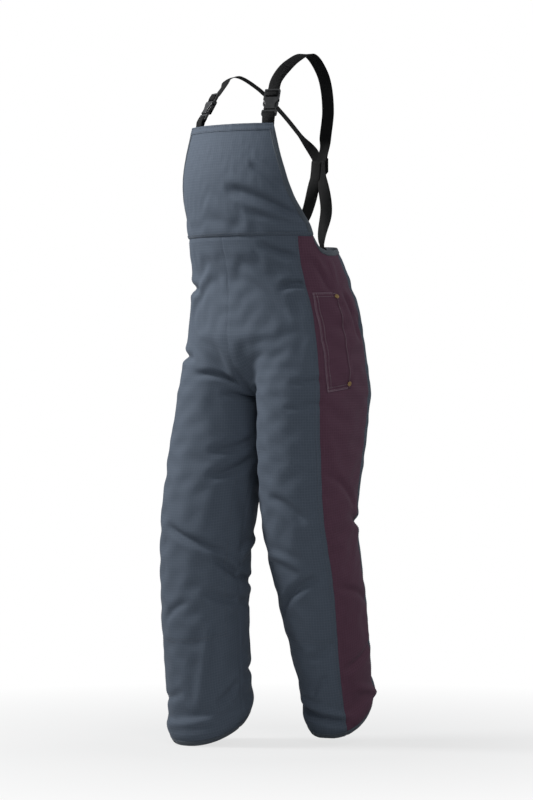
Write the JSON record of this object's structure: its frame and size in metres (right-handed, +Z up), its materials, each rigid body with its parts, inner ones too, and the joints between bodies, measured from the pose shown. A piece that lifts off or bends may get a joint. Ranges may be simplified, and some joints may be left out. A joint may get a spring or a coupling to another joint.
{
  "type": "bib-and-brace chainsaw overalls",
  "caption": "Bib-and-brace chainsaw trousers with layered leg saw pads, side panels, tool pockets, crossed shoulder webbing and side-release buckles, shown in a walking stance.",
  "frame": {"origin": "on the ground, under the middle of the seat", "axes": "+Z up, the front faces -Y, the wearer's left side is +X"},
  "size_m": [0.4128, 0.379, 1.4458],
  "materials": {
    "shell_cloth": "slate blue-grey ripstop twill",
    "side_cloth": "burgundy ripstop",
    "binding_tape": "folded grey edge tape",
    "webbing": "black woven polyester webbing",
    "elastic": "black woven elastic",
    "saw_protection": "pale layered cut-stopping fibre pad",
    "facing_cloth": "plain grey lining",
    "buckle_plastic": "moulded black acetal, satin",
    "rivet_brass": "aged brass"
  },
  "bodies": {
    "trunk": {"left_front_waist": "shell_cloth", "left_side_waist": "side_cloth", "left_back_waist": "shell_cloth", "left_armhole_binding": "binding_tape", "left_strap_back": "webbing", "left_back_strap": "webbing", "right_front_waist": "shell_cloth", "right_side_waist": "side_cloth", "right_back_waist": "shell_cloth", "right_armhole_binding": "binding_tape", "right_strap_back": "webbing", "right_back_strap": "webbing", "back_elastic": "elastic", "strap_cross_patch": "webbing"},
    "bib": {"bib_panel": "shell_cloth", "bib_facing": "facing_cloth", "left_bib_binding": "binding_tape", "left_strap_anchor": "webbing", "left_buckle_plug": "buckle_plastic", "right_bib_binding": "binding_tape", "right_strap_anchor": "webbing", "right_buckle_plug": "buckle_plastic"},
    "left_buckle": {"left_buckle_socket": "buckle_plastic", "left_strap_front": "webbing"},
    "left_arm_outer": {"left_latch_arm_outer": "buckle_plastic"},
    "left_arm_inner": {"left_latch_arm_inner": "buckle_plastic"},
    "left_thigh": {"left_front_thigh": "shell_cloth", "left_side_thigh": "side_cloth", "left_back_thigh": "shell_cloth", "left_saw_pad_thigh": "saw_protection", "left_side_pocket": "side_cloth", "left_pocket_rivets": "rivet_brass"},
    "left_shin": {"left_front_shin": "shell_cloth", "left_side_shin": "side_cloth", "left_back_shin": "shell_cloth", "left_saw_pad_shin": "saw_protection", "left_hem_binding": "binding_tape"},
    "right_buckle": {"right_buckle_socket": "buckle_plastic", "right_strap_front": "webbing"},
    "right_arm_outer": {"right_latch_arm_outer": "buckle_plastic"},
    "right_arm_inner": {"right_latch_arm_inner": "buckle_plastic"},
    "right_thigh": {"right_front_thigh": "shell_cloth", "right_side_thigh": "side_cloth", "right_back_thigh": "shell_cloth", "right_saw_pad_thigh": "saw_protection", "right_side_pocket": "side_cloth", "right_pocket_rivets": "rivet_brass"},
    "right_shin": {"right_front_shin": "shell_cloth", "right_side_shin": "side_cloth", "right_back_shin": "shell_cloth", "right_saw_pad_shin": "saw_protection", "right_hem_binding": "binding_tape"}
  },
  "joints": [
    {"name": "bib_fold", "type": "hinge", "parent": "trunk", "child": "bib", "pos_m": [0, -0.163, 1.055], "axis": [1, 0, 0], "range_deg": [0, 35]},
    {"name": "left_buckle_release", "type": "slide", "parent": "bib", "child": "left_buckle", "axis": [-0.2034, 0.4568, 0.866], "range_m": [0, 0.03]},
    {"name": "left_arm_outer_squeeze", "type": "hinge", "parent": "bib", "child": "left_arm_outer", "pos_m": [0.09823, -0.10761, 1.31471], "axis": [0.3522, -0.7912, 0.5], "range_deg": [0, 7], "stiffness_Nm_per_rad": 0.02},
    {"name": "left_arm_inner_squeeze", "type": "hinge", "parent": "bib", "child": "left_arm_inner", "pos_m": [0.07722, -0.11697, 1.31471], "axis": [0.3522, -0.7912, 0.5], "range_deg": [-7, 0], "stiffness_Nm_per_rad": 0.02},
    {"name": "right_buckle_release", "type": "slide", "parent": "bib", "child": "right_buckle", "axis": [0.2034, 0.4568, 0.866], "range_m": [0, 0.03]},
    {"name": "right_arm_outer_squeeze", "type": "hinge", "parent": "bib", "child": "right_arm_outer", "pos_m": [-0.09823, -0.10761, 1.31471], "axis": [-0.3522, -0.7912, 0.5], "range_deg": [-7, 0], "stiffness_Nm_per_rad": 0.02},
    {"name": "right_arm_inner_squeeze", "type": "hinge", "parent": "bib", "child": "right_arm_inner", "pos_m": [-0.07722, -0.11697, 1.31471], "axis": [-0.3522, -0.7912, 0.5], "range_deg": [0, 7], "stiffness_Nm_per_rad": 0.02},
    {"name": "left_hip", "type": "hinge", "parent": "trunk", "child": "left_thigh", "pos_m": [0, 0.01, 0.82], "axis": [-1, 0, 0], "range_deg": [-15, 40]},
    {"name": "left_knee", "type": "hinge", "parent": "left_thigh", "child": "left_shin", "pos_m": [0, -0.002, 0.48], "axis": [1, 0, 0], "range_deg": [-5, 60]},
    {"name": "right_hip", "type": "hinge", "parent": "trunk", "child": "right_thigh", "pos_m": [0, 0.01, 0.82], "axis": [-1, 0, 0], "range_deg": [-15, 40]},
    {"name": "right_knee", "type": "hinge", "parent": "right_thigh", "child": "right_shin", "pos_m": [0, -0.084, 0.48], "axis": [1, 0, 0], "range_deg": [-5, 60]}
  ],
  "couplings": [
    {"joint": "left_arm_inner_squeeze", "follows": "left_arm_outer_squeeze", "ratio": -1},
    {"joint": "right_arm_inner_squeeze", "follows": "right_arm_outer_squeeze", "ratio": -1}
  ]
}
